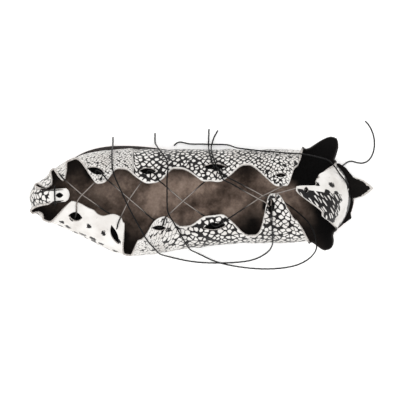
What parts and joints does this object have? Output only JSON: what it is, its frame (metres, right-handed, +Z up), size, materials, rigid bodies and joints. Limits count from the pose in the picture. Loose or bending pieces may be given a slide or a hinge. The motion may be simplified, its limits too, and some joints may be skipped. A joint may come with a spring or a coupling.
{
  "type": "laced hide slipper",
  "caption": "Low flat slipper of one printed hide folded up round the foot from a leather sole, its edge cut in slotted tabs that a thin cord laces together over an open throat.",
  "frame": {"origin": "on the flat underside of the sole, half way along the sole and on its heel's middle line", "axes": "+X to the toe, +Y to the outer side of the left foot, +Z up from the floor"},
  "size_m": [0.2947, 0.1248, 0.0583],
  "materials": {
    "sole_leather": "worn brown sole leather",
    "printed_hide": "white hide with a black scale print outside, dark brown suede inside",
    "suede": "dark brown suede",
    "waxed_cord": "black waxed cord"
  },
  "bodies": {
    "root": {"outsole": "sole_leather", "upper": "printed_hide", "heel_tab": "suede", "lace_crossing_toe": "waxed_cord", "lace_crossing_ball": "waxed_cord", "lace_crossing_waist": "waxed_cord", "lace_crossing_instep": "waxed_cord", "lace_heel_bar": "waxed_cord", "lace_end_lateral": "waxed_cord", "lace_end_heel": "waxed_cord", "lace_heel_strand": "waxed_cord", "lace_end_instep": "waxed_cord", "lace_end_instep_twin": "waxed_cord", "lace_end_back": "waxed_cord"}
  },
  "joints": []
}
